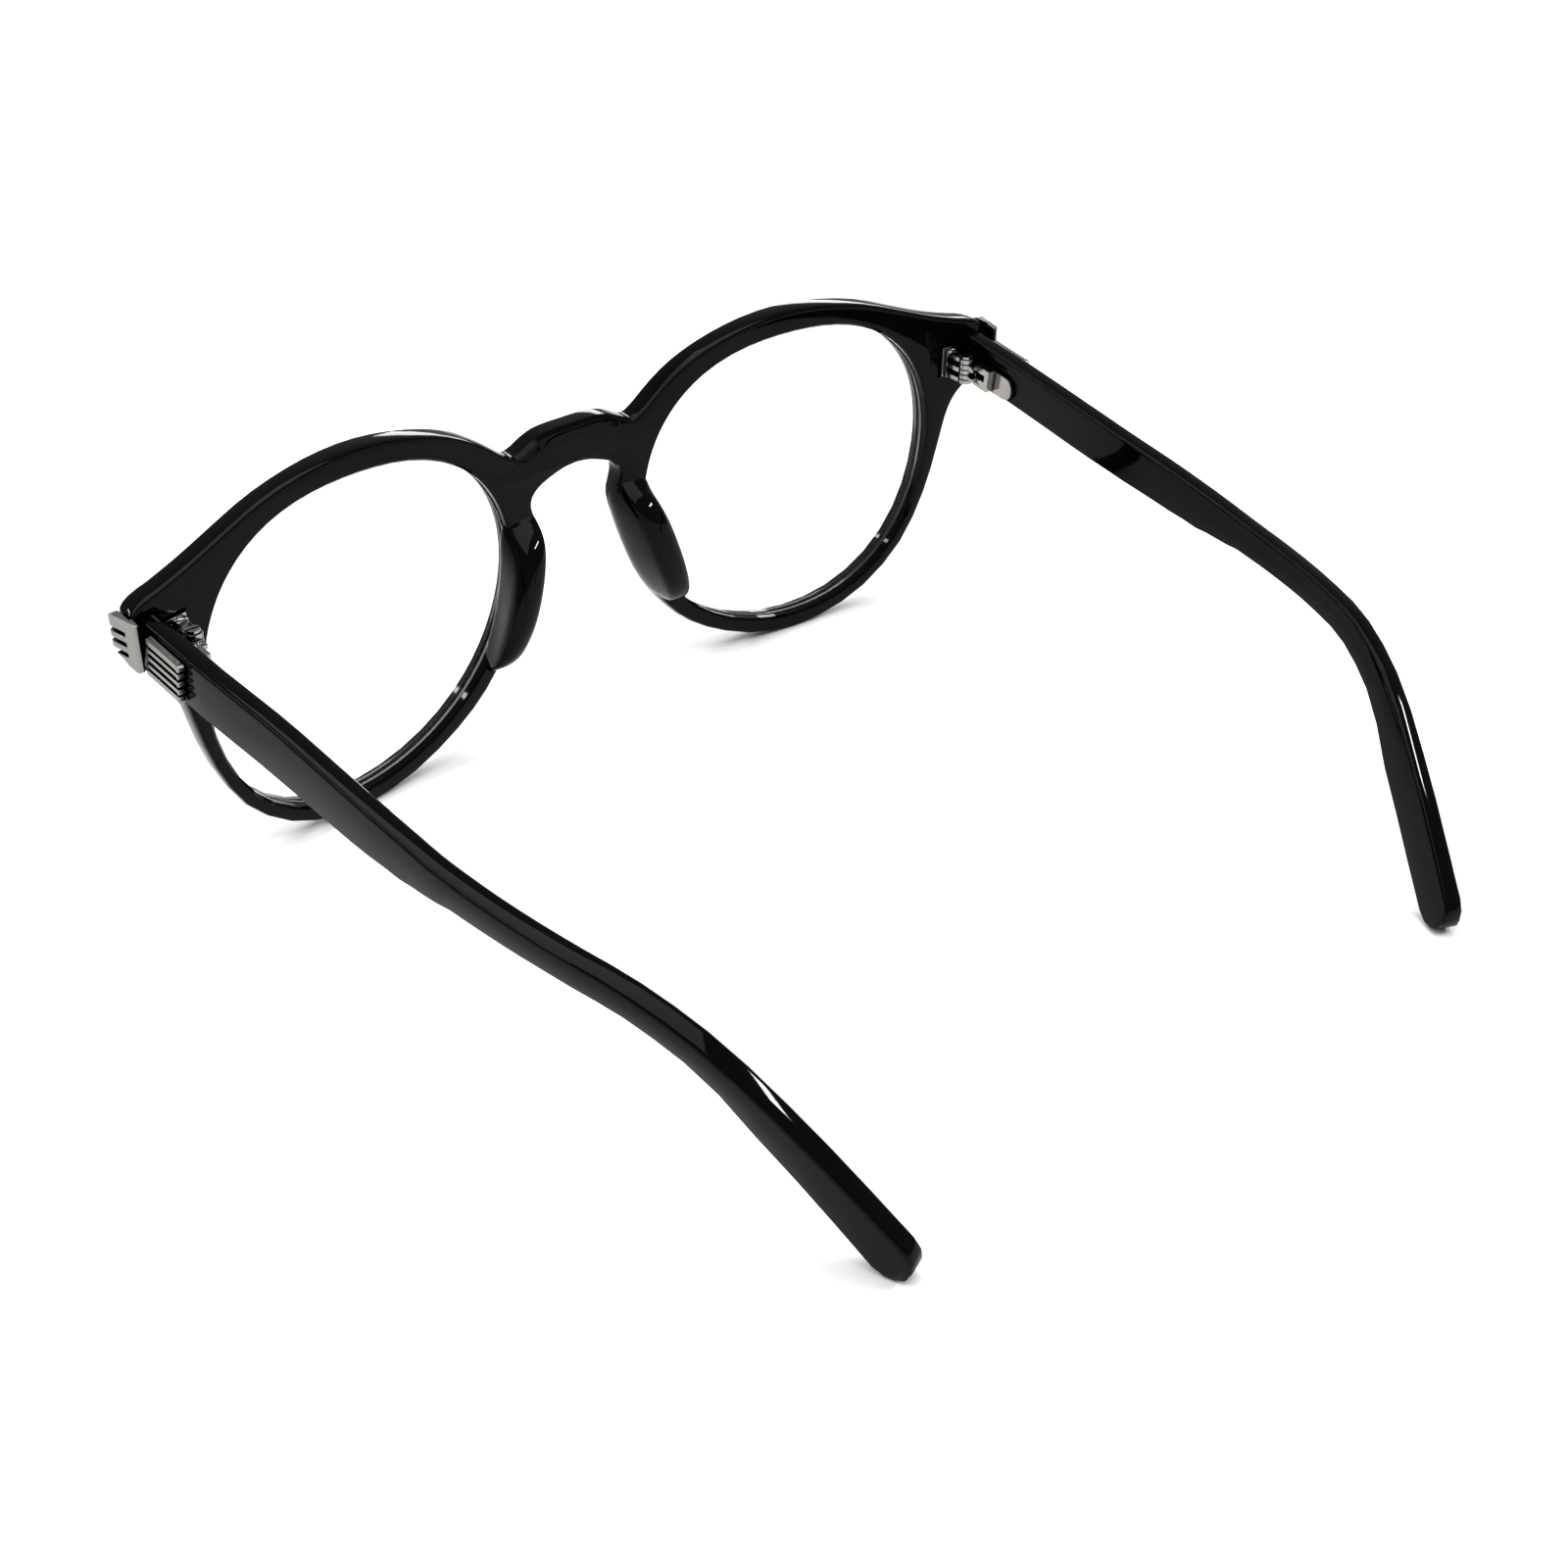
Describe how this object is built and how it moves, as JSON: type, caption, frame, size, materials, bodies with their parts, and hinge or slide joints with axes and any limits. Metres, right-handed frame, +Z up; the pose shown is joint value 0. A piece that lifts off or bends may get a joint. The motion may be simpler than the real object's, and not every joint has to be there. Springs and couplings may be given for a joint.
{
  "type": "eyeglasses",
  "caption": "Black acetate eyeglasses with round lenses, keyhole bridge, moulded nose pads, ribbed metal corner trims and folding temples.",
  "frame": {"origin": "centre of the open pair's bounding box in X and Y, on the level the rims and temple tips stand on", "axes": "+Z up, +Y from the front back along the temples, +X towards the wearer's left"},
  "size_m": [0.1402, 0.1199, 0.0517],
  "materials": {
    "acetate": "polished",
    "lens": "clear",
    "trim_metal": "satin",
    "hinge_steel": "satin",
    "screw": "polished",
    "core_wire": "drawn"
  },
  "bodies": {
    "front": {"front_frame": "acetate", "hinge_screw_left": "screw", "hinge_screw_right": "screw", "front_hinge_leaf_left": "hinge_steel", "front_hinge_leaf_right": "hinge_steel", "front_trim_left": "trim_metal", "front_trim_right": "trim_metal", "front_trim_pin_upper_left": "trim_metal", "front_trim_pin_upper_right": "trim_metal", "front_trim_pin_lower_left": "trim_metal", "front_trim_pin_lower_right": "trim_metal", "nose_pad_left": "acetate", "nose_pad_right": "acetate", "lens_left": "lens", "lens_right": "lens"},
    "left_temple": {"temple_left": "acetate", "temple_core_wire_left": "core_wire", "temple_hinge_leaf_left": "hinge_steel", "temple_trim_left": "trim_metal", "temple_trim_pin_front_left": "trim_metal", "temple_trim_pin_rear_left": "trim_metal"},
    "right_temple": {"temple_right": "acetate", "temple_core_wire_right": "core_wire", "temple_hinge_leaf_right": "hinge_steel", "temple_trim_right": "trim_metal", "temple_trim_pin_front_right": "trim_metal", "temple_trim_pin_rear_right": "trim_metal"}
  },
  "joints": [
    {"name": "left_temple_fold", "type": "hinge", "parent": "front", "child": "left_temple", "pos_m": [0.0624, -0.04445, 0.03771], "axis": [0, 0.0651, 0.9979], "range_deg": [0, 80]},
    {"name": "right_temple_fold", "type": "hinge", "parent": "front", "child": "right_temple", "pos_m": [-0.0624, -0.04445, 0.03771], "axis": [0, -0.0651, -0.9979], "range_deg": [0, 72]}
  ]
}
